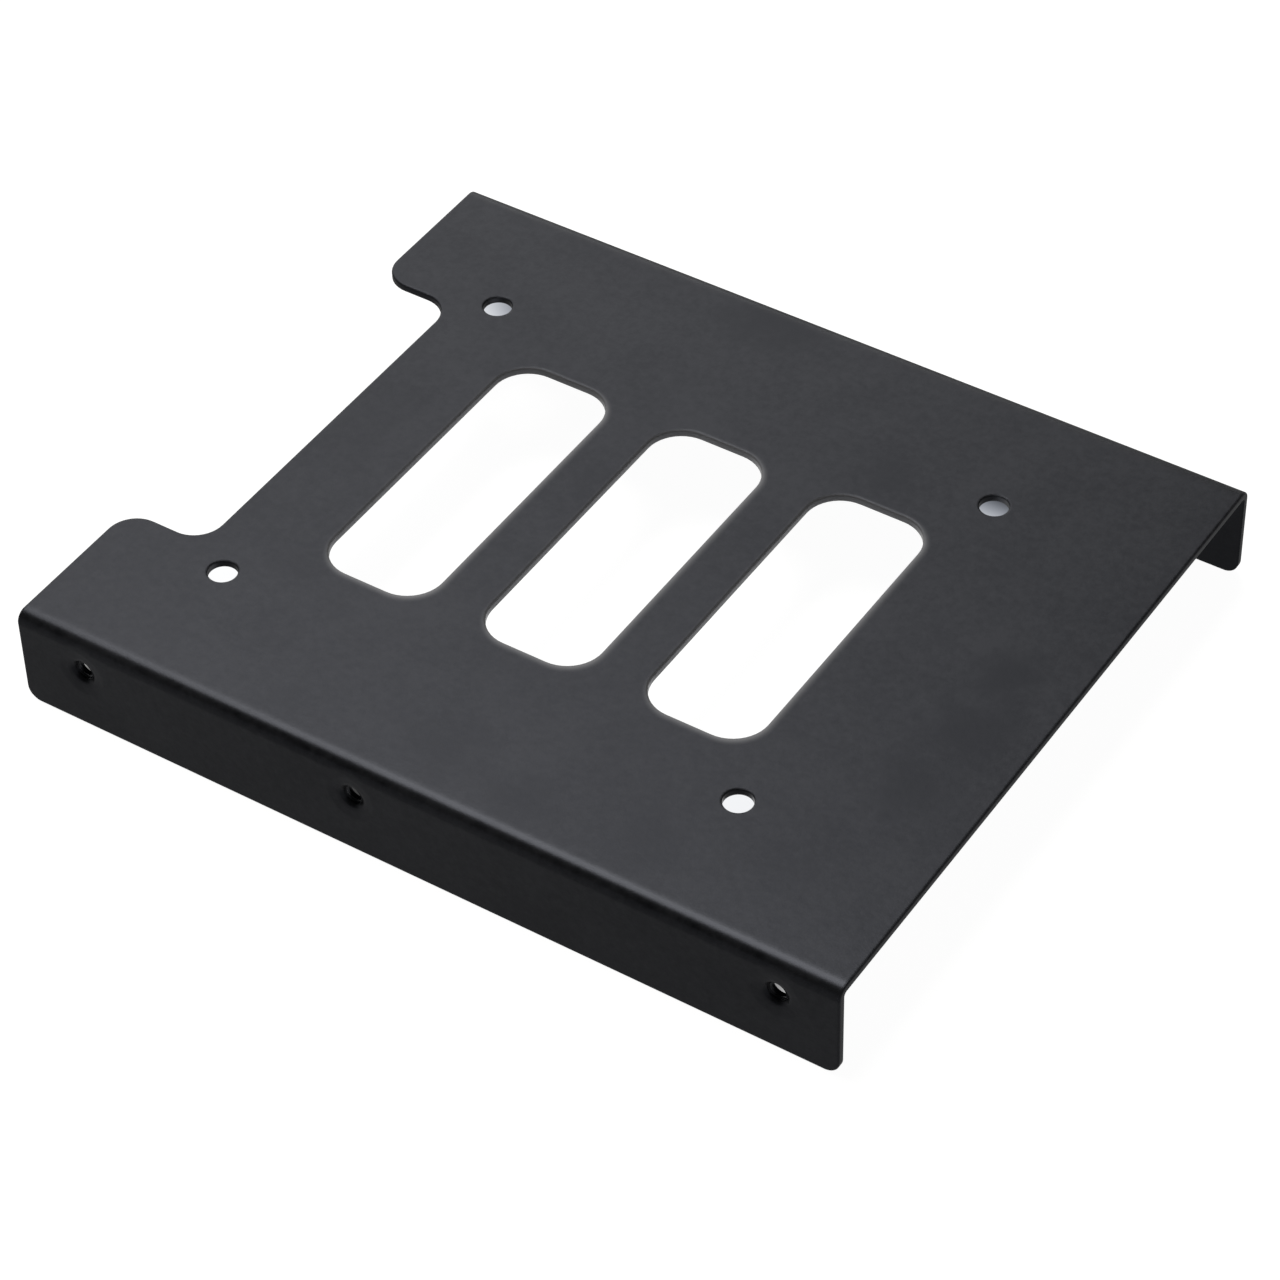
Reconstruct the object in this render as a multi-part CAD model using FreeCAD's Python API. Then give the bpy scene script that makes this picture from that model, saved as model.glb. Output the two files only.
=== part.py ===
# Folded sheet-metal bracket that carries a 2.5 inch drive in a 3.5 inch bay.
# Own frame: +X along the flanges away from the notched end, +Y across, +Z up.
# The origin is under the middle of the bracket, on the plane its two flange edges stand on.
import FreeCAD, Part
import math
import os

V = FreeCAD.Vector
X_AXIS = V(1, 0, 0)
Y_AXIS = V(0, 1, 0)
Z_AXIS = V(0, 0, 1)

# Driving sizes of the folded sheet, in millimetres
width = 101.6
height = 14.4
sheet = 1.0
bend_outer_radius = 1.6
flange_corner_radius = 2.0
blanked_edge_radius = 0.25

# Notch between the two tabs at the -X end
notch_depth = 12.0
notch_width = 55.8
notch_corner_share = 0.34

# Row of lightening slots, counted from the notch floor
slot_count = 3
slot_row_clearance = 13.7
slot_row_length = 64.5
slot_bridge = 7.65
slot_length = 46.0
slot_corner_share = 0.305

# Four holes for the drive's bottom screws
drive_hole_spacing_x = 76.60
drive_hole_spacing_y = 61.72
drive_hole_end_distance = 17.35
drive_hole_radius = 1.95
drive_hole_mouth = 0.15

# Three tapped holes in each flange, spaced as the side holes of a 3.5 inch drive
side_hole_near_margin = 9.7
side_hole_first_gap = 41.28
side_hole_second_gap = 60.32
side_hole_far_margin = 8.7
side_hole_drop = 5.5
side_hole_bore_radius = 1.4
dimple_depth = 0.30
dimple_clearance = 0.5
dimple_shoulder_radius = 1.2
mouth_chamfer = 0.4
collar_wall = 0.65
collar_stand = 0.75

# Sizes that follow from the driving ones
side_hole_span = side_hole_first_gap + side_hole_second_gap
length = side_hole_near_margin + side_hole_span + side_hole_far_margin
half_length = length / 2
half_width = width / 2
bend_inner_radius = bend_outer_radius - sheet
notch_floor_x = notch_depth - half_length
notch_corner_radius = notch_depth * notch_corner_share
slot_width = (slot_row_length - (slot_count - 1) * slot_bridge) / slot_count
slot_corner_radius = slot_width * slot_corner_share
slot_row_start_x = notch_floor_x + slot_row_clearance
side_hole_z = height - side_hole_drop
dimple_radius = side_hole_drop - bend_outer_radius - dimple_clearance
mouth_outer_radius = side_hole_bore_radius + mouth_chamfer
collar_outer_radius = side_hole_bore_radius + collar_wall
collar_root_depth = dimple_depth + sheet
collar_end_depth = collar_root_depth + collar_stand
tool_overshoot = 5 * sheet


def rounded_outline(corners, radii, start):
    """Closed wire through flat corner points, each corner rounded by its own radius."""
    count = len(corners)
    arc_starts = []
    arc_middles = []
    arc_ends = []
    for index, corner in enumerate(corners):
        before = (corners[index - 1] - corner).normalize()
        after = (corners[(index + 1) % count] - corner).normalize()
        radius = radii[index]
        half_angle = before.getAngle(after) / 2
        reach = radius / math.tan(half_angle)
        bisector = (before + after).normalize()
        arc_starts.append(corner + before * reach)
        arc_middles.append(corner + bisector * (radius / math.sin(half_angle) - radius))
        arc_ends.append(corner + after * reach)
    edges = []
    for index in range(count):
        if radii[index] > 0:
            arc = Part.Arc(arc_starts[index], arc_middles[index], arc_ends[index])
            edges.append(arc.toShape())
        following = (index + 1) % count
        edges.append(Part.makeLine(arc_ends[index], arc_starts[following]))
    wire = Part.Wire(edges)
    wire.translate(start)
    return wire


def channel_section():
    """The folded sheet cut across: a flat web and two flanges turned down round the bends."""
    outer = half_width
    inner = half_width - sheet
    under = height - sheet
    corners = [
        V(0, -outer, 0),
        V(0, -outer, height),
        V(0, outer, height),
        V(0, outer, 0),
        V(0, inner, 0),
        V(0, inner, under),
        V(0, -inner, under),
        V(0, -inner, 0),
    ]
    radii = [
        0,
        bend_outer_radius,
        bend_outer_radius,
        0,
        0,
        bend_inner_radius,
        bend_inner_radius,
        0,
    ]
    return Part.Face(rounded_outline(corners, radii, V(-half_length, 0, 0)))


def folded_sheet():
    """The section drawn along the whole length."""
    return channel_section().extrude(X_AXIS * length)


def flange_outline_tool():
    """A block with rounded lower ends, whose common part with the sheet rounds the flange corners."""
    top = height + tool_overshoot
    corners = [
        V(-half_length, 0, 0),
        V(half_length, 0, 0),
        V(half_length, 0, top),
        V(-half_length, 0, top),
    ]
    radii = [flange_corner_radius, flange_corner_radius, 0, 0]
    start = V(0, -half_width - tool_overshoot, 0)
    face = Part.Face(rounded_outline(corners, radii, start))
    return face.extrude(Y_AXIS * (width + 2 * tool_overshoot))


def through_web(face):
    """A flat face at the level of the flange edges, drawn up through the web."""
    return face.extrude(Z_AXIS * (height + tool_overshoot))


def notch_tool():
    """The notch with rounded inner corners, flared round the two tab corners."""
    start_z = height - sheet - tool_overshoot
    half = notch_width / 2
    radius = notch_corner_radius
    outside = half + 2 * radius
    open_x = -half_length - tool_overshoot
    corners = [
        V(open_x, -outside, 0),
        V(-half_length, -outside, 0),
        V(-half_length, -half, 0),
        V(notch_floor_x, -half, 0),
        V(notch_floor_x, half, 0),
        V(-half_length, half, 0),
        V(-half_length, outside, 0),
        V(open_x, outside, 0),
    ]
    radii = [0, 0, radius, radius, radius, radius, 0, 0]
    return through_web(Part.Face(rounded_outline(corners, radii, V(0, 0, start_z))))


def slot_tool(centre_x):
    """One slot across the web, its four corners rounded."""
    half_x = slot_width / 2
    half_y = slot_length / 2
    corners = [
        V(-half_x, -half_y, 0),
        V(half_x, -half_y, 0),
        V(half_x, half_y, 0),
        V(-half_x, half_y, 0),
    ]
    radii = [slot_corner_radius] * len(corners)
    start = V(centre_x, 0, height - sheet - tool_overshoot)
    return through_web(Part.Face(rounded_outline(corners, radii, start)))


def slot_centres():
    """Middle of each slot along X."""
    pitch = slot_width + slot_bridge
    first = slot_row_start_x + slot_width / 2
    return [first + index * pitch for index in range(slot_count)]


def drive_hole_centres():
    """The four drive screw holes, in the web."""
    first_x = drive_hole_end_distance - half_length
    centres = []
    for x in (first_x, first_x + drive_hole_spacing_x):
        for y in (-drive_hole_spacing_y / 2, drive_hole_spacing_y / 2):
            centres.append(V(x, y, height))
    return centres


def drive_hole_tool(centre):
    """A round hole with a belled mouth on the upper face."""
    core = drive_hole_radius
    mouth = drive_hole_mouth
    above = V(0, 0, tool_overshoot)
    below = V(0, 0, -sheet - tool_overshoot)
    corners = [
        above,
        V(core + mouth, 0, tool_overshoot),
        V(core + mouth, 0, 0),
        V(core, 0, -mouth),
        V(core, 0, -sheet - tool_overshoot),
        below,
        above,
    ]
    tool = Part.Face(Part.makePolygon(corners)).revolve(V(0, 0, 0), Z_AXIS, 360)
    tool.translate(centre)
    return tool


def side_hole_stations():
    """Where the three tapped holes stand along X."""
    first = side_hole_near_margin - half_length
    second = first + side_hole_first_gap
    return [first, second, second + side_hole_second_gap]


def dimple_shoulder_reach():
    """How far past its own radius the dimple's rounded shoulder runs over the flange."""
    slope = math.atan2(dimple_depth, dimple_radius - mouth_outer_radius)
    return dimple_shoulder_radius * math.tan(slope / 2)


def drawn_ring():
    """The metal round one tapped hole: a dimple, a countersunk mouth and a drawn collar about +Y."""
    bore = side_hole_bore_radius
    rim = dimple_radius + dimple_shoulder_reach() + sheet
    corners = [
        V(rim, 0, 0),
        V(dimple_radius, 0, 0),
        V(mouth_outer_radius, dimple_depth, 0),
        V(bore, dimple_depth + mouth_chamfer, 0),
        V(bore, collar_end_depth, 0),
        V(collar_outer_radius, collar_end_depth, 0),
        V(collar_outer_radius, collar_root_depth, 0),
        V(dimple_radius, sheet, 0),
        V(rim, sheet, 0),
    ]
    radii = [
        0,
        dimple_shoulder_radius,
        0,
        0,
        0,
        0,
        0,
        0,
        0,
    ]
    return Part.Face(rounded_outline(corners, radii, V(0, 0, 0)))


def revolve_about_flange(face):
    """A flat section turned once round the axis of a side hole."""
    return face.revolve(V(0, 0, 0), Y_AXIS, 360)


def dimple_blank():
    """The plain round of flange that the drawn ring takes the place of."""
    return Part.makeCylinder(dimple_radius + dimple_shoulder_reach(), sheet, V(0, 0, 0), Y_AXIS)


def placed_on_flange(shape, side, station):
    """A copy on the front (-1) or back (+1) flange, its inward side facing the middle."""
    copy = shape.copy()
    if side > 0:
        copy.rotate(V(0, 0, 0), Z_AXIS, 180)
    copy.translate(V(station, side * half_width, side_hole_z))
    return copy


def with_side_holes(body):
    """The six tapped holes, each drawn inward from the outer face."""
    ring = revolve_about_flange(drawn_ring())
    blank = dimple_blank()
    ring = ring.common(Part.makeCylinder(blank.BoundBox.XMax, collar_end_depth, V(0, 0, 0), Y_AXIS))
    for side in (-1, 1):
        for station in side_hole_stations():
            body = body.cut(placed_on_flange(blank, side, station))
            body = body.fuse(placed_on_flange(ring, side, station))
    return body.removeSplitter()


def on_outer_skin(edge):
    """True for a sharp edge round the upper face of the web, away from the bends."""
    box = edge.BoundBox
    flat = box.ZLength < sheet / 100
    level = abs(box.ZMax - height) < sheet / 100
    return flat and level


def rolled_edges(body):
    """The blanked outline's edges on the upper face, lightly rounded by the punch."""
    edges = []
    for edge in body.Edges:
        along_bend = edge.BoundBox.XLength > length - tool_overshoot
        if on_outer_skin(edge) and not along_bend:
            edges.append(edge)
    return body.makeFillet(blanked_edge_radius, edges)


def bracket():
    """The finished bracket as one solid."""
    body = folded_sheet().common(flange_outline_tool())
    body = body.cut(notch_tool())
    for centre_x in slot_centres():
        body = body.cut(slot_tool(centre_x))
    body = rolled_edges(body)
    for centre in drive_hole_centres():
        body = body.cut(drive_hole_tool(centre))
    return with_side_holes(body)


os.makedirs("parts", exist_ok=True)
bracket().exportStep("parts/bracket.step")
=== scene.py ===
"""Visual model of a folded drive bay adapter bracket, dressed over its CAD frame."""

import logging
import math
from dataclasses import dataclass, field
from enum import Enum
from typing import Sequence

import bpy
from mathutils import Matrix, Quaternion, Vector


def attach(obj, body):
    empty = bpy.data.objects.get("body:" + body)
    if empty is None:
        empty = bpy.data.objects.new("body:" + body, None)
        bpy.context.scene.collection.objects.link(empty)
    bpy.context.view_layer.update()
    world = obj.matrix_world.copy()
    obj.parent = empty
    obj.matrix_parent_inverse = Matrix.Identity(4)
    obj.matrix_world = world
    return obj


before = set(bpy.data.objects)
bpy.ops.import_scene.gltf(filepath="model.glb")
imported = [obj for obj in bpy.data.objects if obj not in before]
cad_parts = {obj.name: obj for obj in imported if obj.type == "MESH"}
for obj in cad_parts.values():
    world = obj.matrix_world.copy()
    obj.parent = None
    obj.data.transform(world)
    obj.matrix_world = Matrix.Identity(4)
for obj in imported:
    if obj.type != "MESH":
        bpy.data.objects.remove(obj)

MM = 0.001
LOG = logging.getLogger("bracket")
Point = tuple[float, float, float]
Colour = tuple[float, float, float, float]
Operand = bpy.types.NodeSocket | float | Point | Colour
WHITE: Colour = (1.0, 1.0, 1.0, 1.0)
NOISE_MIDDLE = 0.5


class Slot(Enum):
    """The record's material slots."""

    COAT = "black_powder_coat"


class Body(Enum):
    """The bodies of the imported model."""

    ROOT = "root"


class RayKind(Enum):
    """Outputs of the Light Path node that the paper answers to."""

    CAMERA = "Is Camera Ray"
    GLOSSY = "Is Glossy Ray"
    TRANSMISSION = "Is Transmission Ray"


class Flange(Enum):
    """The two flanges, by the direction that their outer faces look along Y."""

    FRONT = -1
    BACK = 1


class MixSocket(Enum):
    """Places of the sockets that a Mix node uses for colours."""

    MASK = 0
    UNDER = 6
    OVER = 7
    RESULT = 2


@dataclass(frozen=True)
class SheetSizes:
    """Sizes of the folded sheet that its coat and its threads follow, in millimetres."""

    half_width: float = 50.8
    height: float = 14.4
    bend_radius: float = 1.6
    side_holes: tuple[float, float, float] = (-50.3, -9.02, 51.3)
    side_hole_level: float = 8.9
    first_slot: float = -26.1
    slot_spacing: float = 24.05
    slot_count: int = 3
    slot_half_size: tuple[float, float] = (8.2, 23.0)
    slot_corner: float = 5.0


class NodeGraph:
    """A small writer for node trees, so that each finish reads as a list of steps."""

    def __init__(self, tree: bpy.types.NodeTree) -> None:
        """Empties the tree.

        Args:
            tree: The node tree to fill.
        """
        self.tree = tree
        self.tree.nodes.clear()

    def node(self, kind: str, **settings: object) -> bpy.types.Node:
        """Adds one node.

        Args:
            kind: The node's type name.
            settings: Attributes to set on it.

        Returns:
            The new node.
        """
        made = self.tree.nodes.new(kind)
        for name, value in settings.items():
            setattr(made, name, value)
        return made

    def join(self, start: bpy.types.NodeSocket, end: bpy.types.NodeSocket) -> None:
        """Links an output socket to an input socket."""
        self.tree.links.new(start, end)

    def put(self, socket: bpy.types.NodeSocket, value: Operand) -> None:
        """Feeds an input socket.

        Args:
            socket: The input.
            value: An output socket, or a plain value.
        """
        if isinstance(value, bpy.types.NodeSocket):
            self.join(value, socket)
        else:
            socket.default_value = value

    def maths(self, operation: str, first: Operand, second: Operand = 0.0) -> bpy.types.NodeSocket:
        """Adds a Math node.

        Args:
            operation: The Math node's operation.
            first: A socket or a number.
            second: A socket or a number.

        Returns:
            The node's output socket.
        """
        made = self.node("ShaderNodeMath", operation=operation)
        self.put(made.inputs[0], first)
        self.put(made.inputs[1], second)
        return made.outputs[0]

    def across(self, sideways: Operand, upward: Operand) -> bpy.types.NodeSocket:
        """Joins a Y and a Z part into a vector across the sheet.

        Args:
            sideways: The Y part.
            upward: The Z part.

        Returns:
            The vector's socket.
        """
        made = self.node("ShaderNodeCombineXYZ")
        self.put(made.inputs["Y"], sideways)
        self.put(made.inputs["Z"], upward)
        return made.outputs[0]

    def vectors(self, operation: str, first: Operand, second: Operand) -> bpy.types.Node:
        """Adds a Vector Math node.

        Args:
            operation: The Vector Math node's operation.
            first: A socket or a vector.
            second: A socket or a vector.

        Returns:
            The node, because what it gives depends on its operation.
        """
        made = self.node("ShaderNodeVectorMath", operation=operation)
        self.put(made.inputs[0], first)
        self.put(made.inputs[1], second)
        return made

    def scaled(self, vector: Operand, factor: Operand) -> bpy.types.NodeSocket:
        """Stretches a vector by a factor.

        Args:
            vector: The vector.
            factor: The factor.

        Returns:
            The new vector's socket.
        """
        made = self.node("ShaderNodeVectorMath", operation="SCALE")
        self.put(made.inputs[0], vector)
        self.put(made.inputs["Scale"], factor)
        return made.outputs[0]

    def unit(self, vector: Operand) -> bpy.types.NodeSocket:
        """Brings a vector to unit length.

        Args:
            vector: The vector.

        Returns:
            The new vector's socket.
        """
        made = self.node("ShaderNodeVectorMath", operation="NORMALIZE")
        self.put(made.inputs[0], vector)
        return made.outputs[0]

    def step(
        self, value: Operand, span: tuple[float, float], ends: tuple[float, float] = (0.0, 1.0)
    ) -> bpy.types.NodeSocket:
        """Leads softly from one number to another while a length runs over a span.

        Args:
            value: The length, in metres.
            span: Where the change starts and ends, in millimetres.
            ends: The numbers before and after the span.

        Returns:
            The number's socket.
        """
        made = self.node("ShaderNodeMapRange", interpolation_type="SMOOTHSTEP")
        self.put(made.inputs["Value"], value)
        made.inputs["From Min"].default_value = span[0] * MM
        made.inputs["From Max"].default_value = span[1] * MM
        made.inputs["To Min"].default_value = ends[0]
        made.inputs["To Max"].default_value = ends[1]
        return made.outputs[0]

    def parts(self, vector: bpy.types.NodeSocket) -> bpy.types.bpy_prop_collection:
        """Splits a vector.

        Args:
            vector: The vector.

        Returns:
            Outputs named X, Y and Z.
        """
        made = self.node("ShaderNodeSeparateXYZ")
        self.join(vector, made.inputs[0])
        return made.outputs

    def blend(self, mask: Operand, under: Operand, over: Operand) -> bpy.types.NodeSocket:
        """Lays one colour over another by a mask.

        Args:
            mask: 1 where the upper colour shows.
            under: The lower colour, or its socket.
            over: The upper colour, or its socket.

        Returns:
            The colour socket.
        """
        made = self.node("ShaderNodeMix", data_type="RGBA")
        self.put(made.inputs[MixSocket.MASK.value], mask)
        self.put(made.inputs[MixSocket.UNDER.value], under)
        self.put(made.inputs[MixSocket.OVER.value], over)
        return made.outputs[MixSocket.RESULT.value]


@dataclass(frozen=True)
class EasedFold:
    """The coat's easing over the two folds: it turns early on the web and lags at first.

    Lengths are in millimetres. The path runs over the section from the web, where it is
    negative, round the bend and down the flange.
    """

    sheet: SheetSizes = field(default_factory=SheetSizes)
    web_ease: float = 1.4
    flange_ease: float = 0.6
    lag: float = 1.5

    def ease(
        self, graph: NodeGraph, place: bpy.types.NodeSocket, normal: bpy.types.NodeSocket
    ) -> bpy.types.NodeSocket:
        """Tilts a normal from the true bend's direction to the eased one's.

        Args:
            graph: The tree to write in.
            place: Object coordinates, in metres.
            normal: The normal to tilt.

        Returns:
            The tilted normal's socket.
        """
        radius = self.sheet.bend_radius
        at = graph.parts(place)
        side = graph.maths("SIGN", at["Y"])
        width = graph.maths("ABSOLUTE", at["Y"])
        out = graph.maths("SUBTRACT", width, (self.sheet.half_width - radius) * MM)
        up = graph.maths("SUBTRACT", at["Z"], (self.sheet.height - radius) * MM)
        bent = graph.maths("ARCTAN2", graph.maths("MAXIMUM", out, 0.0), graph.maths("MAXIMUM", up, 0.0))
        flat = graph.maths("SUBTRACT", graph.maths("MINIMUM", out, 0.0), graph.maths("MINIMUM", up, 0.0))
        path = graph.maths("ADD", flat, graph.maths("MULTIPLY", bent, radius * MM))
        turned = graph.step(path, (-self.web_ease, radius * math.pi / 2 + self.flange_ease))
        eased = graph.maths("MULTIPLY", graph.maths("POWER", turned, self.lag), math.pi / 2)
        true_way = self._facing(graph, side, bent)
        change = graph.vectors("SUBTRACT", self._facing(graph, side, eased), true_way).outputs[0]
        faced = graph.node("ShaderNodeNewGeometry").outputs["Normal"]
        likeness = graph.vectors("DOT_PRODUCT", faced, true_way).outputs["Value"]
        return graph.unit(graph.vectors("ADD", normal, graph.scaled(change, likeness)).outputs[0])

    @staticmethod
    def _facing(
        graph: NodeGraph, side: bpy.types.NodeSocket, tilt: bpy.types.NodeSocket
    ) -> bpy.types.NodeSocket:
        """Turns a tilt away from straight up into a direction towards that side of the bracket."""
        sideways = graph.maths("MULTIPLY", side, graph.maths("SINE", tilt))
        return graph.across(sideways, graph.maths("COSINE", tilt))


@dataclass(frozen=True)
class EvenedDimples:
    """The coat's pooling in the flanges' shallow dimples, which evens them out by a share.

    Lengths are in millimetres. Spans run outward from the axis of each tapped hole. Skin
    depths run inward from a flange's outer face, from none of the pooling to all of it.
    """

    sheet: SheetSizes = field(default_factory=SheetSizes)
    skin_depths: tuple[float, float] = (0.6, 0.4)
    rim_span: tuple[float, float] = (2.0, 2.5)
    outer_span: tuple[float, float] = (4.2, 4.8)
    share: float = 0.6

    def even(
        self, graph: NodeGraph, place: bpy.types.NodeSocket, normal: bpy.types.NodeSocket
    ) -> bpy.types.NodeSocket:
        """Leads a dimple's normal part of the way to the flange's own.

        Args:
            graph: The tree to write in.
            place: Object coordinates, in metres.
            normal: The normal to lead.

        Returns:
            The normal's socket.
        """
        at = graph.parts(place)
        flat = graph.node("ShaderNodeCombineXYZ")
        graph.join(at["X"], flat.inputs["X"])
        graph.join(at["Z"], flat.inputs["Z"])
        away: Operand = 1.0  # a metre, further off than any hole
        for station in self.sheet.side_holes:
            axis = (station * MM, 0.0, self.sheet.side_hole_level * MM)
            reach = graph.vectors("DISTANCE", flat.outputs[0], axis).outputs["Value"]
            away = graph.maths("MINIMUM", reach, away)
        within = graph.step(away, self.outer_span, (1.0, 0.0))
        ring = graph.maths("MULTIPLY", graph.step(away, self.rim_span), within)
        under, skin = (self.sheet.half_width - depth for depth in self.skin_depths)
        outer_face = graph.step(graph.maths("ABSOLUTE", at["Y"]), (under, skin))
        pull = graph.maths("MULTIPLY", graph.maths("MULTIPLY", ring, outer_face), self.share)
        facing = graph.across(graph.maths("SIGN", at["Y"]), 0.0)
        kept = graph.scaled(normal, graph.maths("SUBTRACT", 1.0, pull))
        return graph.unit(graph.vectors("ADD", kept, graph.scaled(facing, pull)).outputs[0])


@dataclass(frozen=True)
class SlotPaintedLight:
    """Painted light at the punched slots: their walls painted pale and a soft painted highlight rim on the
    web.

    Lengths are in millimetres. The painted rim is widest on the slots' +X and -Y sides, and reaches a
    share of the painted walls' strength.
    """

    sheet: SheetSizes = field(default_factory=SheetSizes)
    drift: tuple[float, float] = (0.3, -0.3)
    reach: float = 1.0
    rim_share: float = 0.8
    rim_fade: float = 2.0
    wall_reach: float = 0.3

    def mask(self, graph: NodeGraph, place: bpy.types.NodeSocket) -> bpy.types.NodeSocket:
        """Finds where light is painted on.

        Args:
            graph: The tree to write in.
            place: Object coordinates, in metres.

        Returns:
            A mask socket, 1 where the painted light is strongest.
        """
        at = graph.parts(graph.scaled(place, 1.0 / MM))
        from_first = graph.maths("SUBTRACT", at["X"], self.sheet.first_slot)
        index = graph.maths("ROUND", graph.maths("DIVIDE", from_first, self.sheet.slot_spacing))
        index = graph.maths("MINIMUM", graph.maths("MAXIMUM", index, 0.0), self.sheet.slot_count - 1.0)
        start = graph.maths("MULTIPLY", index, self.sheet.slot_spacing)
        along = graph.maths("SUBTRACT", from_first, start)
        rim = graph.maths("DIVIDE", self._outside(graph, along, at["Y"], self.drift), self.reach)
        rim = graph.maths("SUBTRACT", 1.0, graph.maths("MINIMUM", graph.maths("MAXIMUM", rim, 0.0), 1.0))
        rim = graph.maths("MULTIPLY", graph.maths("POWER", rim, self.rim_fade), self.rim_share)
        faced = graph.parts(graph.node("ShaderNodeNewGeometry").outputs["Normal"])
        steep = graph.maths("SQRT", graph.maths("SUBTRACT", 1.0, graph.maths("ABSOLUTE", faced["Z"])))
        outside = self._outside(graph, along, at["Y"], (0.0, 0.0))
        close = graph.maths("LESS_THAN", outside, self.wall_reach)
        return graph.maths("MAXIMUM", rim, graph.maths("MULTIPLY", steep, close))

    def _outside(
        self,
        graph: NodeGraph,
        along: bpy.types.NodeSocket,
        across: bpy.types.NodeSocket,
        drift: tuple[float, float],
    ) -> bpy.types.NodeSocket:
        """Measures how far outside a slot's rounded outline a point lies.

        Args:
            graph: The tree to write in.
            along: Distance from the slot's middle along X.
            across: Distance from the slot's middle along Y.
            drift: How far the outline is moved along X and Y.

        Returns:
            The distance's socket, 0 on the outline.
        """
        corner = self.sheet.slot_corner
        squares = []
        for value, half, shift in zip((along, across), self.sheet.slot_half_size, drift):
            off = graph.maths("ABSOLUTE", graph.maths("SUBTRACT", value, shift))
            past = graph.maths("MAXIMUM", graph.maths("SUBTRACT", off, half - corner), 0.0)
            squares.append(graph.maths("MULTIPLY", past, past))
        return graph.maths("SUBTRACT", graph.maths("SQRT", graph.maths("ADD", *squares)), corner)


@dataclass(frozen=True)
class Smudge:
    """A soft, dark mark that a hand left on the web. Lengths are in millimetres."""

    middle: tuple[float, float]
    reach: tuple[float, float]
    strength: float

    def mask(self, graph: NodeGraph, place: bpy.types.NodeSocket, waver: Operand) -> bpy.types.NodeSocket:
        """Finds the mark.

        Args:
            graph: The tree to write in.
            place: Object coordinates, in millimetres.
            waver: What to add to the distance, so that the mark's edge wanders.

        Returns:
            A mask socket, as strong as the mark in its middle and 0 outside it.
        """
        off = graph.vectors("SUBTRACT", place, (*self.middle, 0.0)).outputs[0]
        shares = graph.vectors("MULTIPLY", off, (1.0 / self.reach[0], 1.0 / self.reach[1], 0.0)).outputs[0]
        distance = graph.vectors("LENGTH", shares, (0.0, 0.0, 0.0)).outputs["Value"]
        wandering = graph.maths("MULTIPLY", graph.maths("ADD", distance, waver), MM)
        return graph.step(wandering, (0.0, 1.0), (self.strength, 0.0))


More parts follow.
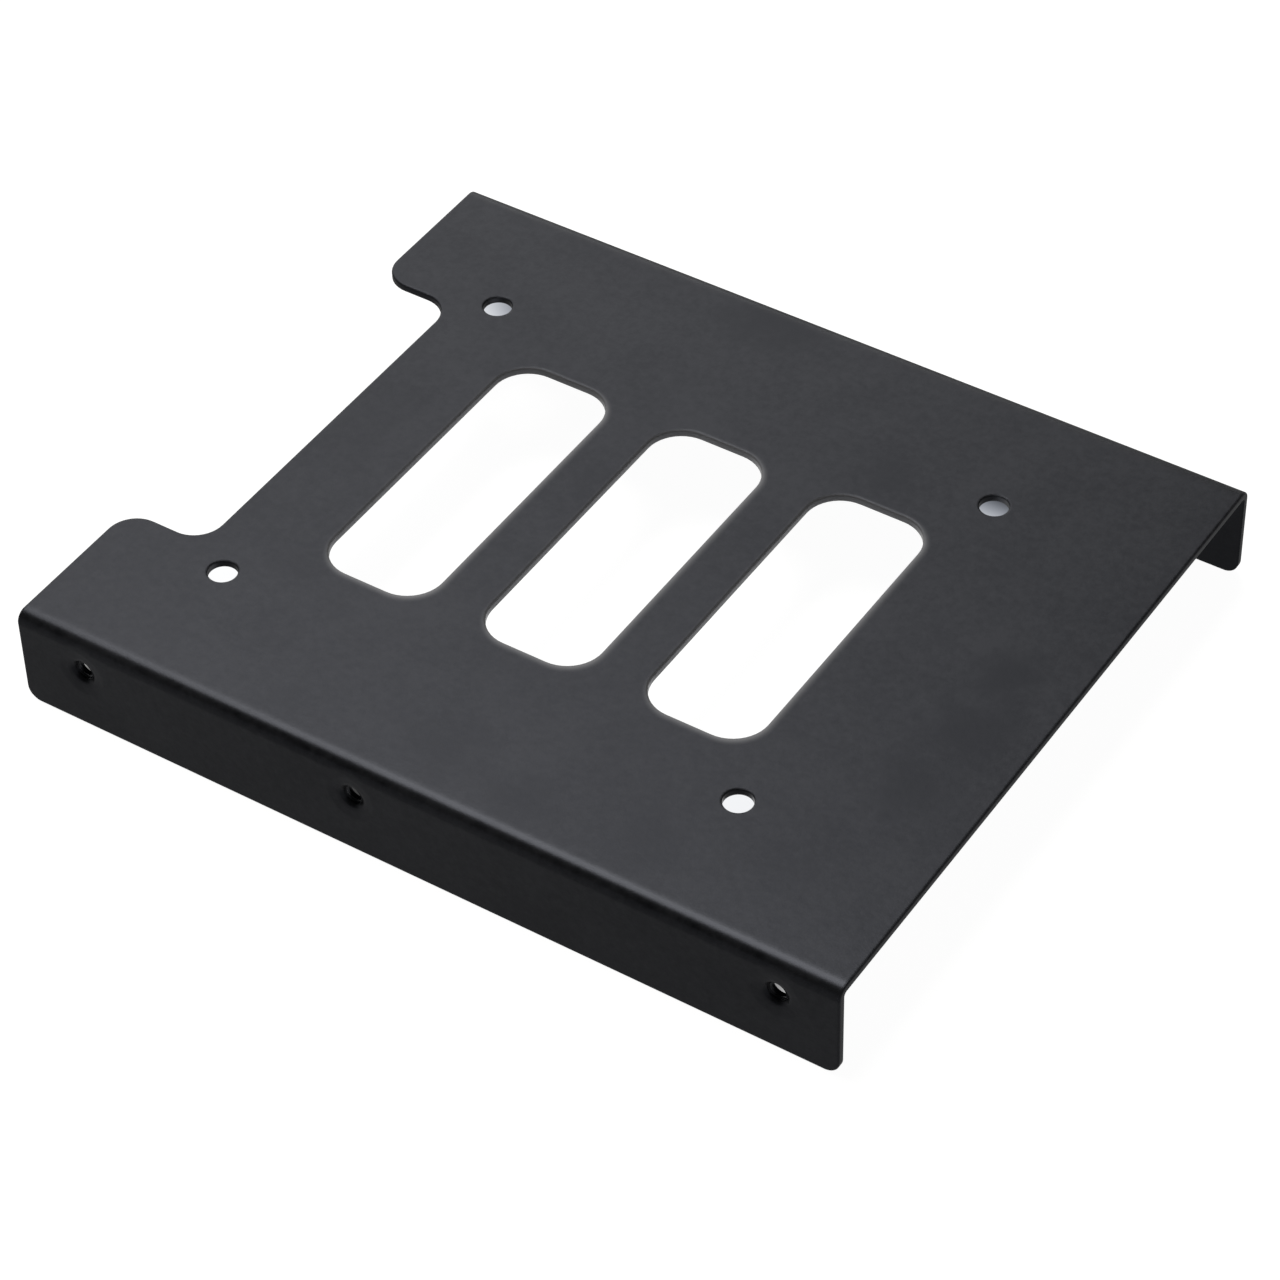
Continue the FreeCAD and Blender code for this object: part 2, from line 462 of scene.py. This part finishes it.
@dataclass(frozen=True)
class PowderCoat:
    """Satin black powder coat: a nearly black base under a fine, even orange peel.

    Lengths are in millimetres. The coat rounds every edge softly, by about its edge radius.
    """

    name: str = "black powder coat"
    colour: Point = (0.0028, 0.0028, 0.0031)
    pale_colour: Point = (0.0122, 0.0124, 0.0137)
    smudge_colour: Point = (0.0004, 0.0004, 0.0005)
    speck_colour: Point = (0.16, 0.16, 0.17)
    # painted light: the slot walls and a rim round each slot are painted this paler grey
    painted_light_colour: Point = (0.16, 0.16, 0.165)
    gloss_tint: Point = (0.80, 0.84, 1.0)
    roughness: float = 0.33
    roughness_swing: float = 0.03
    specular_level: float = 0.28
    edge_radius: float = 0.4
    edge_samples: int = 4
    fold: EasedFold = field(default_factory=EasedFold)
    dimples: EvenedDimples = field(default_factory=EvenedDimples)
    # where light is painted on at the slots, walls and rims
    slot_painted_light: SlotPaintedLight = field(default_factory=SlotPaintedLight)
    peel_size: float = 0.9
    peel_height: float = 0.012
    peel_detail: float = 2.0
    grain_size: float = 0.22
    grain_height: float = 0.006
    grain_detail: float = 3.0
    mottle_size: float = 14.0
    mottle_detail: float = 4.0
    mottle_spread: float = 0.10
    cloud_size: float = 1.3
    cloud_detail: float = 3.0
    wavers_per_mottle: float = 4.0
    waver_detail: float = 2.0
    sheens_per_mottle: float = 3.0
    sheen_detail: float = 4.0
    noise_roughness: float = 0.68
    smudges: tuple[Smudge, ...] = (
        Smudge((51.8, -5.8), (8.5, 9.5), 1.0),
        Smudge((51.0, 4.5), (6.5, 9.5), 1.0),
        Smudge((50.4, -17.5), (8.5, 9.5), 0.9),
        Smudge((-9.5, 47.5), (12.0, 9.0), 1.0),
        Smudge((11.6, -44.5), (7.5, 7.5), 1.0),
        Smudge((-0.9, -42.5), (9.0, 9.0), 0.9),
        Smudge((28.5, -42.0), (6.5, 9.0), 0.8),
        Smudge((-43.0, 3.0), (6.0, 16.0), 0.4),
        Smudge((20.0, 28.5), (6.5, 6.0), 0.7),
    )
    speck_spacing: float = 9.0
    speck_radius: float = 0.22
    speck_share: float = 0.07

    def build(self) -> bpy.types.Material:
        """Writes the finish as a material.

        Returns:
            The material.
        """
        material = bpy.data.materials.new(self.name)
        material.use_nodes = True
        graph = NodeGraph(material.node_tree)
        place = graph.node("ShaderNodeTexCoord").outputs["Object"]
        shader = graph.node("ShaderNodeBsdfPrincipled")
        shader.inputs["Specular IOR Level"].default_value = self.specular_level
        shader.inputs["Specular Tint"].default_value = (*self.gloss_tint, 1.0)
        graph.join(self._colour(graph, place), shader.inputs["Base Color"])
        graph.join(self._roughness(graph, place), shader.inputs["Roughness"])
        graph.join(self._relief(graph, place), shader.inputs["Normal"])
        output = graph.node("ShaderNodeOutputMaterial")
        graph.join(shader.outputs["BSDF"], output.inputs["Surface"])
        return material

    def _noise(
        self, graph: NodeGraph, place: bpy.types.NodeSocket, size: float, detail: float
    ) -> bpy.types.NodeSocket:
        """Adds a noise whose features have a real size.

        Args:
            graph: The tree to write in.
            place: Object coordinates, in metres.
            size: Feature size in millimetres.
            detail: The noise's octaves.

        Returns:
            The noise's factor socket.
        """
        noise = graph.node("ShaderNodeTexNoise")
        noise.inputs["Scale"].default_value = 1.0 / (size * MM)
        noise.inputs["Detail"].default_value = detail
        noise.inputs["Roughness"].default_value = self.noise_roughness
        graph.join(place, noise.inputs["Vector"])
        return noise.outputs["Fac"]

    def _smudged(self, graph: NodeGraph, place: bpy.types.NodeSocket) -> bpy.types.NodeSocket:
        """Gathers the smudges in one mask, with wandering edges.

        Args:
            graph: The tree to write in.
            place: Object coordinates.

        Returns:
            The mask socket.
        """
        scaled = graph.scaled(place, 1.0 / MM)
        size = self.mottle_size / self.wavers_per_mottle
        noise = self._noise(graph, place, size, self.waver_detail)
        waver = graph.maths("SUBTRACT", noise, NOISE_MIDDLE)
        mask: Operand = 0.0
        for smudge in self.smudges:
            mask = graph.maths("MAXIMUM", smudge.mask(graph, scaled, waver), mask)
        return mask

    def _colour(self, graph: NodeGraph, place: bpy.types.NodeSocket) -> bpy.types.NodeSocket:
        """Mottles the black slightly, with smudges, a few pale dust specks and painted light at the slots
        on it.

        Args:
            graph: The tree to write in.
            place: Object coordinates.

        Returns:
            The colour socket.
        """
        contrast = graph.node("ShaderNodeMapRange")
        broad = self._noise(graph, place, self.mottle_size, self.mottle_detail)
        fine = self._noise(graph, place, self.cloud_size, self.cloud_detail)
        mean = graph.maths("MULTIPLY", graph.maths("ADD", broad, fine), 0.5)
        graph.join(mean, contrast.inputs["Value"])
        contrast.inputs["From Min"].default_value = NOISE_MIDDLE - self.mottle_spread
        contrast.inputs["From Max"].default_value = NOISE_MIDDLE + self.mottle_spread
        colour = graph.blend(contrast.outputs[0], (*self.colour, 1.0), (*self.pale_colour, 1.0))
        colour = graph.blend(self._smudged(graph, place), colour, (*self.smudge_colour, 1.0))
        colour = graph.blend(self._speck_mask(graph, place), colour, (*self.speck_colour, 1.0))
        # painted light: slot walls and rims go pale, standing in for lit walls and edge highlights
        return graph.blend(self.slot_painted_light.mask(graph, place), colour, (*self.painted_light_colour, 1.0))

    def _speck_mask(self, graph: NodeGraph, place: bpy.types.NodeSocket) -> bpy.types.NodeSocket:
        """Finds the sparse dust specks: the middles of a few cells of a coarse pattern.

        Args:
            graph: The tree to write in.
            place: Object coordinates.

        Returns:
            A mask socket, 1 on a speck.
        """
        cells = graph.node("ShaderNodeTexVoronoi")
        cells.inputs["Scale"].default_value = 1.0 / (self.speck_spacing * MM)
        graph.join(place, cells.inputs["Vector"])
        near = graph.maths("LESS_THAN", cells.outputs["Distance"], self.speck_radius / self.speck_spacing)
        split = graph.node("ShaderNodeSeparateColor")
        graph.join(cells.outputs["Color"], split.inputs[0])
        chosen = graph.maths("LESS_THAN", split.outputs[0], self.speck_share)
        return graph.maths("MULTIPLY", near, chosen)

    def _roughness(self, graph: NodeGraph, place: bpy.types.NodeSocket) -> bpy.types.NodeSocket:
        """Lets the gloss drift a little over the sheet.

        Args:
            graph: The tree to write in.
            place: Object coordinates.

        Returns:
            The roughness socket.
        """
        drift = graph.node("ShaderNodeMapRange")
        drift.inputs["To Min"].default_value = self.roughness - self.roughness_swing
        drift.inputs["To Max"].default_value = self.roughness + self.roughness_swing
        size = self.mottle_size / self.sheens_per_mottle
        graph.join(self._noise(graph, place, size, self.sheen_detail), drift.inputs["Value"])
        return drift.outputs[0]

    def _relief(self, graph: NodeGraph, place: bpy.types.NodeSocket) -> bpy.types.NodeSocket:
        """Softens the edges and the folds, then stacks the coat's grain on its orange peel.

        Args:
            graph: The tree to write in.
            place: Object coordinates.

        Returns:
            The normal socket.
        """
        edge = graph.node("ShaderNodeBevel", samples=self.edge_samples)
        edge.inputs["Radius"].default_value = self.edge_radius * MM
        normal = self.fold.ease(graph, place, edge.outputs["Normal"])
        normal = self.dimples.even(graph, place, normal)
        layers = (
            (self.peel_size, self.peel_height, self.peel_detail),
            (self.grain_size, self.grain_height, self.grain_detail),
        )
        for size, height, detail in layers:
            bump = graph.node("ShaderNodeBump")
            bump.inputs["Distance"].default_value = height * MM
            graph.join(self._noise(graph, place, size, detail), bump.inputs["Height"])
            graph.join(normal, bump.inputs["Normal"])
            normal = bump.outputs["Normal"]
        return normal


@dataclass(frozen=True)
class FootShade:
    """A soft, tinted shade on the paper along the inside of one flange, fading at its ends.

    Lengths are in millimetres. It grows towards the flange as far as its line, and its depth
    leads from one share to another along X. Its tint shows most where it is deepest.
    """

    flange: Flange
    across: tuple[float, float]
    middle: float
    ends: tuple[float, float]
    depths: tuple[float, float] = (1.0, 1.0)
    depth_span: tuple[float, float] = (-20.0, 60.0)
    flange_line: float = 50.3
    tint: Point = (0.97, 1.05, 1.22)

    def strength(self, graph: NodeGraph, at: bpy.types.bpy_prop_collection) -> bpy.types.NodeSocket:
        """Gives the share of light that the shade takes.

        Args:
            graph: The tree to write in.
            at: Outputs that give the place on the paper, in metres.

        Returns:
            The share's socket.
        """
        outward = graph.maths("MULTIPLY", at["Y"], float(self.flange.value))
        inside = graph.maths("LESS_THAN", outward, self.flange_line * MM)
        shade = graph.maths("MULTIPLY", graph.step(outward, self.across), inside)
        shade = graph.maths("MULTIPLY", shade, graph.step(at["X"], self.depth_span, self.depths))
        off = graph.maths("ABSOLUTE", graph.maths("SUBTRACT", at["X"], self.middle * MM))
        return graph.maths("MULTIPLY", shade, graph.step(off, self.ends, (1.0, 0.0)))


@dataclass(frozen=True)
class StudioPaper:
    """White paper under the bracket, answering to how it is looked at.

    Seen straight on it is white, with a soft shade at the inner foot of each flange and a
    faint one under the two front drive holes. In the coat's gloss it is an even grey, and
    white only in the pool of light that falls through the slots. Lengths are in millimetres
    from the middle.
    """

    name: str = "white studio paper"
    colour: float = 0.8
    seen_white: float = 0.97
    seen_matte: float = 0.15
    shades: tuple[FootShade, ...] = (
        FootShade(Flange.FRONT, (34.5, 43.0), -4.75, (51.0, 57.0), (0.96, 0.68), tint=(1.0, 1.0, 1.0)),
        FootShade(Flange.FRONT, (11.0, 16.5), -4.75, (51.0, 57.0), (0.12, 0.25), flange_line=30.0),
        FootShade(Flange.BACK, (37.0, 48.5), -7.0, (39.0, 57.0)),
    )
    gloss_grey: float = 0.33
    gloss_white: float = 1.2
    pool_span_along: tuple[float, float] = (30.0, 42.0)
    pool_span_across: tuple[float, float] = (26.0, 38.0)

    def build(self) -> bpy.types.Material:
        """Writes the paper as a material.

        Returns:
            The material.
        """
        material = bpy.data.materials.new(self.name)
        material.use_nodes = True
        material.cycles.emission_sampling = "NONE"
        graph = NodeGraph(material.node_tree)
        rays = graph.node("ShaderNodeLightPath").outputs
        at = graph.parts(graph.node("ShaderNodeTexCoord").outputs["Object"])
        seen = graph.node("ShaderNodeAddShader")
        graph.join(self._seen_glow(graph, at), seen.inputs[0])
        graph.join(self._matte(graph, self.seen_matte), seen.inputs[1])
        matte = self._matte(graph, self.colour)
        straight = self._pick(graph, rays[RayKind.CAMERA.value], matte, seen.outputs[0])
        by_way = graph.maths("MAXIMUM", rays[RayKind.GLOSSY.value], rays[RayKind.TRANSMISSION.value])
        mirrored = self._glow(graph, self._gloss_strength(graph, at))
        output = graph.node("ShaderNodeOutputMaterial")
        graph.join(self._pick(graph, by_way, straight, mirrored), output.inputs["Surface"])
        return material

    @staticmethod
    def _pick(
        graph: NodeGraph,
        chooser: bpy.types.NodeSocket,
        otherwise: bpy.types.NodeSocket,
        chosen: bpy.types.NodeSocket,
    ) -> bpy.types.NodeSocket:
        """Chooses between two shaders.

        Args:
            graph: The tree to write in.
            chooser: 1 where the second shader is wanted.
            otherwise: The first shader.
            chosen: The second shader.

        Returns:
            The shader socket.
        """
        mix = graph.node("ShaderNodeMixShader")
        graph.join(chooser, mix.inputs[0])
        graph.join(otherwise, mix.inputs[1])
        graph.join(chosen, mix.inputs[2])
        return mix.outputs[0]

    @staticmethod
    def _matte(graph: NodeGraph, grey: float) -> bpy.types.NodeSocket:
        """Adds a matte grey shader.

        Args:
            graph: The tree to write in.
            grey: The share of light that it sends back.

        Returns:
            The shader socket.
        """
        matte = graph.node("ShaderNodeBsdfDiffuse")
        matte.inputs["Color"].default_value = (grey, grey, grey, 1.0)
        return matte.outputs[0]

    @staticmethod
    def _glow(graph: NodeGraph, strength: Operand, colour: Operand = WHITE) -> bpy.types.NodeSocket:
        """Adds a glow.

        Args:
            graph: The tree to write in.
            strength: How bright it is.
            colour: Its colour.

        Returns:
            The shader socket.
        """
        glow = graph.node("ShaderNodeEmission")
        graph.put(glow.inputs["Color"], colour)
        graph.put(glow.inputs["Strength"], strength)
        return glow.outputs[0]

    def _seen_glow(self, graph: NodeGraph, at: bpy.types.bpy_prop_collection) -> bpy.types.NodeSocket:
        """Sets how white the paper shows, less so and a little bluer close inside the flanges.

        Args:
            graph: The tree to write in.
            at: Outputs that give the place on the paper, in metres.

        Returns:
            The shader socket.
        """
        strength: Operand = self.seen_white
        colour: Operand = WHITE
        for shade in self.shades:
            left = graph.maths("SUBTRACT", 1.0, shade.strength(graph, at))
            strength = graph.maths("MULTIPLY", left, strength)
            colour = graph.blend(left, (*shade.tint, 1.0), colour)
        return self._glow(graph, strength, colour)

    def _gloss_strength(self, graph: NodeGraph, at: bpy.types.bpy_prop_collection) -> bpy.types.NodeSocket:
        """Sets how bright the paper is in the coat's gloss, white under the slots.

        Args:
            graph: The tree to write in.
            at: Outputs that give the place on the paper, in metres.

        Returns:
            The strength socket.
        """
        along = graph.maths("ABSOLUTE", at["X"])
        across = graph.maths("ABSOLUTE", at["Y"])
        pool = graph.step(along, self.pool_span_along, (self.gloss_white - self.gloss_grey, 0.0))
        pool = graph.maths("MULTIPLY", pool, graph.step(across, self.pool_span_across, (1.0, 0.0)))
        return graph.maths("ADD", pool, self.gloss_grey)


@dataclass
class BracketSheet:
    """The folded sheet, shown by its CAD node."""

    node: str = "bracket"

    def build(self) -> bpy.types.Object:
        """Takes up the CAD node.

        Returns:
            The node's object.
        """
        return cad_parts[self.node]

    def dress(self, coat: bpy.types.Material) -> bpy.types.Object:
        """Coats the sheet.

        Args:
            coat: The powder coat.

        Returns:
            The coated object.
        """
        sheet = self.build()
        sheet.data.materials.clear()
        sheet.data.materials.append(coat)
        return sheet


@dataclass
class TappedThreads:
    """The threads cut in the six side holes, one rounded ridge winding down each collar.

    Lengths are in millimetres. Depths run inward from a flange's outer face.
    """

    name: str = "side_hole_threads"
    sheet: SheetSizes = field(default_factory=SheetSizes)
    pitch: float = 0.794
    turns: float = 1.45
    start_depth: float = 0.62
    ridge_radius: float = 1.44
    ridge_height: float = 0.14
    ridge_half_width: float = 0.24
    steps_per_turn: int = 32
    ridge_sides: int = 8

    def build(self, coat: bpy.types.Material) -> bpy.types.Object:
        """Winds the ridges with Geometry Nodes and keeps them as one plain mesh.

        Args:
            coat: The coat that covers the threads.

        Returns:
            The threads.
        """
        seeds = bpy.data.objects.new("thread seeds", self._seed_mesh())
        bpy.context.scene.collection.objects.link(seeds)
        modifier = seeds.modifiers.new("threads", "NODES")
        modifier.node_group = self._tree(coat)
        sizes = {
            "Pitch": self.pitch * MM,
            "Turns": self.turns,
            "Start Depth": self.start_depth * MM,
            "Ridge Radius": self.ridge_radius * MM,
            "Ridge Height": self.ridge_height * MM,
            "Ridge Half Width": self.ridge_half_width * MM,
            "Steps": self.steps_per_turn,
            "Sides": self.ridge_sides,
        }
        for item in modifier.node_group.interface.items_tree:
            if item.name in sizes:
                modifier[item.identifier] = sizes[item.name]
        graph_eval = bpy.context.evaluated_depsgraph_get()
        mesh = bpy.data.meshes.new_from_object(seeds.evaluated_get(graph_eval))
        seeds.modifiers.clear()
        bpy.data.objects.remove(seeds)
        mesh.name = self.name
        threads = bpy.data.objects.new(self.name, mesh)
        bpy.context.scene.collection.objects.link(threads)
        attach(threads, Body.ROOT.value)
        return threads

    def _seed_mesh(self) -> bpy.types.Mesh:
        """Marks the mouth of each hole with a point that carries its flange's turn.

        Returns:
            The seed mesh.
        """
        places = []
        turns = []
        for side in Flange:
            outer_face = side.value * self.sheet.half_width
            for station in self.sheet.side_holes:
                places.append((station * MM, outer_face * MM, self.sheet.side_hole_level * MM))
                turns.append(0.0 if side is Flange.FRONT else math.pi)
        mesh = bpy.data.meshes.new("thread seeds")
        mesh.from_pydata(places, [], [])
        turn = mesh.attributes.new("turn", "FLOAT", "POINT")
        turn.data.foreach_set("value", turns)
        return mesh

    def _tree(self, coat: bpy.types.Material) -> bpy.types.NodeTree:
        """Writes the tree: a helix, swept by an oval, set in each hole.

        Args:
            coat: The coat for Set Material.

        Returns:
            The node tree.
        """
        tree = bpy.data.node_groups.new("wind threads", "GeometryNodeTree")
        graph = NodeGraph(tree)
        tree.interface.new_socket("Geometry", in_out="INPUT", socket_type="NodeSocketGeometry")
        for label in ("Pitch", "Turns", "Start Depth", "Ridge Radius", "Ridge Height", "Ridge Half Width"):
            tree.interface.new_socket(label, in_out="INPUT", socket_type="NodeSocketFloat")
        for label in ("Steps", "Sides"):
            tree.interface.new_socket(label, in_out="INPUT", socket_type="NodeSocketInt")
        tree.interface.new_socket("Geometry", in_out="OUTPUT", socket_type="NodeSocketGeometry")
        given = graph.node("NodeGroupInput").outputs
        ridge = self._ridge(graph, given)
        turn = graph.node("GeometryNodeInputNamedAttribute", data_type="FLOAT")
        turn.inputs["Name"].default_value = "turn"
        aim = graph.node("ShaderNodeCombineXYZ")
        graph.join(turn.outputs["Attribute"], aim.inputs["Z"])
        spread = graph.node("GeometryNodeInstanceOnPoints")
        graph.join(given["Geometry"], spread.inputs["Points"])
        graph.join(ridge, spread.inputs["Instance"])
        graph.join(aim.outputs[0], spread.inputs["Rotation"])
        real = graph.node("GeometryNodeRealizeInstances")
        graph.join(spread.outputs[0], real.inputs[0])
        paint = graph.node("GeometryNodeSetMaterial")
        paint.inputs["Material"].default_value = coat
        graph.join(real.outputs[0], paint.inputs["Geometry"])
        output = graph.node("NodeGroupOutput")
        graph.join(paint.outputs[0], output.inputs["Geometry"])
        return tree

    @staticmethod
    def _ridge(graph: NodeGraph, given: bpy.types.bpy_prop_collection) -> bpy.types.NodeSocket:
        """Winds one ridge about +Y, from its start depth inward.

        Args:
            graph: The tree to write in.
            given: The group input's sockets.

        Returns:
            The ridge's mesh socket.
        """
        helix = graph.node("GeometryNodeCurveSpiral")
        graph.join(given["Steps"], helix.inputs["Resolution"])
        graph.join(given["Turns"], helix.inputs["Rotations"])
        graph.join(given["Ridge Radius"], helix.inputs["Start Radius"])
        graph.join(given["Ridge Radius"], helix.inputs["End Radius"])
        graph.join(graph.maths("MULTIPLY", given["Pitch"], given["Turns"]), helix.inputs["Height"])
        upright = graph.node("GeometryNodeSetCurveNormal", mode="Z_UP")
        graph.join(helix.outputs[0], upright.inputs["Curve"])
        oval = graph.node("GeometryNodeCurvePrimitiveCircle")
        graph.join(given["Sides"], oval.inputs["Resolution"])
        oval.inputs["Radius"].default_value = 1.0
        stretch = graph.node("ShaderNodeCombineXYZ")
        graph.join(given["Ridge Height"], stretch.inputs["X"])
        graph.join(given["Ridge Half Width"], stretch.inputs["Y"])
        stretch.inputs["Z"].default_value = 1.0
        shaped = graph.node("GeometryNodeTransform")
        graph.join(oval.outputs[0], shaped.inputs["Geometry"])
        graph.join(stretch.outputs[0], shaped.inputs["Scale"])
        sweep = graph.node("GeometryNodeCurveToMesh")
        graph.join(upright.outputs[0], sweep.inputs["Curve"])
        graph.join(shaped.outputs[0], sweep.inputs["Profile Curve"])
        sweep.inputs["Fill Caps"].default_value = True
        depth = graph.node("ShaderNodeCombineXYZ")
        graph.join(given["Start Depth"], depth.inputs["Y"])
        laid = graph.node("GeometryNodeTransform")
        graph.join(sweep.outputs[0], laid.inputs["Geometry"])
        graph.join(depth.outputs[0], laid.inputs["Translation"])
        laid.inputs["Rotation"].default_value = (-math.pi / 2, 0.0, 0.0)
        return laid.outputs[0]


@dataclass
class Camera:
    """The photograph's viewpoint, found from the bracket's edges and holes.

    Its place and its nearest sight are in metres, its turn is in radians, and its lens and
    sensor are in millimetres.
    """

    place: Point = (0.226022, -0.336586, 0.385613)
    turn: Point = (0.8085848, 0.0194157, 0.5733835)
    lens: float = 122.27
    sensor: float = 36.0
    nearest: float = 0.01

    def build(self) -> bpy.types.Object:
        """Makes the camera and hands it to the scene.

        Returns:
            The camera object.
        """
        data = bpy.data.cameras.new("camera")
        data.lens = self.lens
        data.sensor_width = self.sensor
        data.clip_start = self.nearest
        camera = bpy.data.objects.new("camera", data)
        camera.location = self.place
        camera.rotation_euler = self.turn
        bpy.context.scene.collection.objects.link(camera)
        bpy.context.scene.camera = camera
        return camera


@dataclass(frozen=True)
class Softbox:
    """A rectangular lamp that looks at the middle of the floor.

    Lengths are in metres, the two angles in degrees, and the roll in radians.
    """

    name: str
    azimuth: float
    elevation: float
    distance: float
    size: tuple[float, float]
    roll: float
    watts: float
    colour: Point = (1.0, 1.0, 1.0)

    def build(self) -> bpy.types.Object:
        """Hangs the lamp.

        Returns:
            The lamp object.
        """
        data = bpy.data.lights.new(self.name, "AREA")
        data.shape = "RECTANGLE"
        data.size, data.size_y = self.size
        data.energy = self.watts
        data.color = self.colour
        lamp = bpy.data.objects.new(self.name, data)
        azimuth = math.radians(self.azimuth)
        elevation = math.radians(self.elevation)
        flat = math.cos(elevation)
        away = Vector((flat * math.cos(azimuth), flat * math.sin(azimuth), math.sin(elevation)))
        lamp.location = away * self.distance
        facing = (-away).to_track_quat("-Z", "Y") @ Quaternion((0, 0, 1), self.roll)
        lamp.rotation_euler = facing.to_euler()
        bpy.context.scene.collection.objects.link(lamp)
        return lamp


@dataclass
class Studio:
    """The paper sweep and the soft light round the bracket. Lengths are in metres."""

    floor_radius: float = 2.6
    bend_radius: float = 0.4
    bend_steps: int = 8
    wall_height: float = 0.7
    segments: int = 96
    clearance: float = 0.05 * MM
    room_grey: float = 0.06
    paper: StudioPaper = field(default_factory=StudioPaper)
    lamps: Sequence[Softbox] = (
        Softbox("overhead softbox", 153.0, 70.0, 1.3, (0.75, 0.74), 0.35, 13.8, (1.0, 0.98, 0.925)),
        Softbox("back softbox", 138.0, 31.0, 1.3, (1.2, 1.3), -0.37, 6.8),
    )

    def build(self) -> None:
        """Lays the paper, hangs the lamps and sets the room's light."""
        self._sweep()
        for lamp in self.lamps:
            lamp.build()
        self._room()
        bpy.context.scene.view_settings.view_transform = "Standard"

    def _profile(self) -> list[tuple[float, float]]:
        """Draws the sweep's section.

        Returns:
            Radius and height of each ring, from the floor's edge out and up the wall.
        """
        points = [(self.floor_radius, 0.0)]
        for step in range(1, self.bend_steps + 1):
            turn = math.pi / 2 * step / self.bend_steps
            out = self.floor_radius + self.bend_radius * math.sin(turn)
            points.append((out, self.bend_radius * (1 - math.cos(turn))))
        points.append((self.floor_radius + self.bend_radius, self.wall_height))
        return points

    def _sweep(self) -> bpy.types.Object:
        """Lays the round paper sweep just under the flange edges.

        Returns:
            The sweep.
        """
        points = [(0.0, 0.0, -self.clearance)]
        faces = []
        rings = self._profile()
        for radius, height in rings:
            for step in range(self.segments):
                turn = 2 * math.pi * step / self.segments
                points.append((radius * math.cos(turn), radius * math.sin(turn), height - self.clearance))
        for step in range(self.segments):
            after = (step + 1) % self.segments
            faces.append((0, 1 + step, 1 + after))
            for ring in range(len(rings) - 1):
                low = 1 + ring * self.segments
                high = low + self.segments
                faces.append((low + step, high + step, high + after, low + after))
        mesh = bpy.data.meshes.new("paper sweep")
        mesh.from_pydata(points, [], faces)
        mesh.shade_smooth()
        mesh.materials.append(self.paper.build())
        sweep = bpy.data.objects.new("paper sweep", mesh)
        bpy.context.scene.collection.objects.link(sweep)
        return sweep

    def _room(self) -> None:
        """Fills the dim room with even light."""
        world = bpy.data.worlds.new("room")
        bpy.context.scene.world = world
        world.use_nodes = True
        graph = NodeGraph(world.node_tree)
        room = graph.node("ShaderNodeBackground")
        room.inputs["Color"].default_value = (self.room_grey, self.room_grey, self.room_grey, 1.0)
        output = graph.node("ShaderNodeOutputWorld")
        graph.join(room.outputs[0], output.inputs["Surface"])


def main() -> None:
    """Builds the bracket, the studio and the camera in order."""
    logging.basicConfig(level=logging.INFO, format="%(name)s: %(message)s")
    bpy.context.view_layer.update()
    coat = PowderCoat().build()
    sheet = BracketSheet().dress(coat)
    LOG.info("coated %s", sheet.name)
    threads = TappedThreads().build(coat)
    LOG.info("wound %s, %d faces", threads.name, len(threads.data.polygons))
    Studio().build()
    LOG.info("studio set")
    Camera().build()
    LOG.info("camera set")


if __name__ == "__main__":
    main()
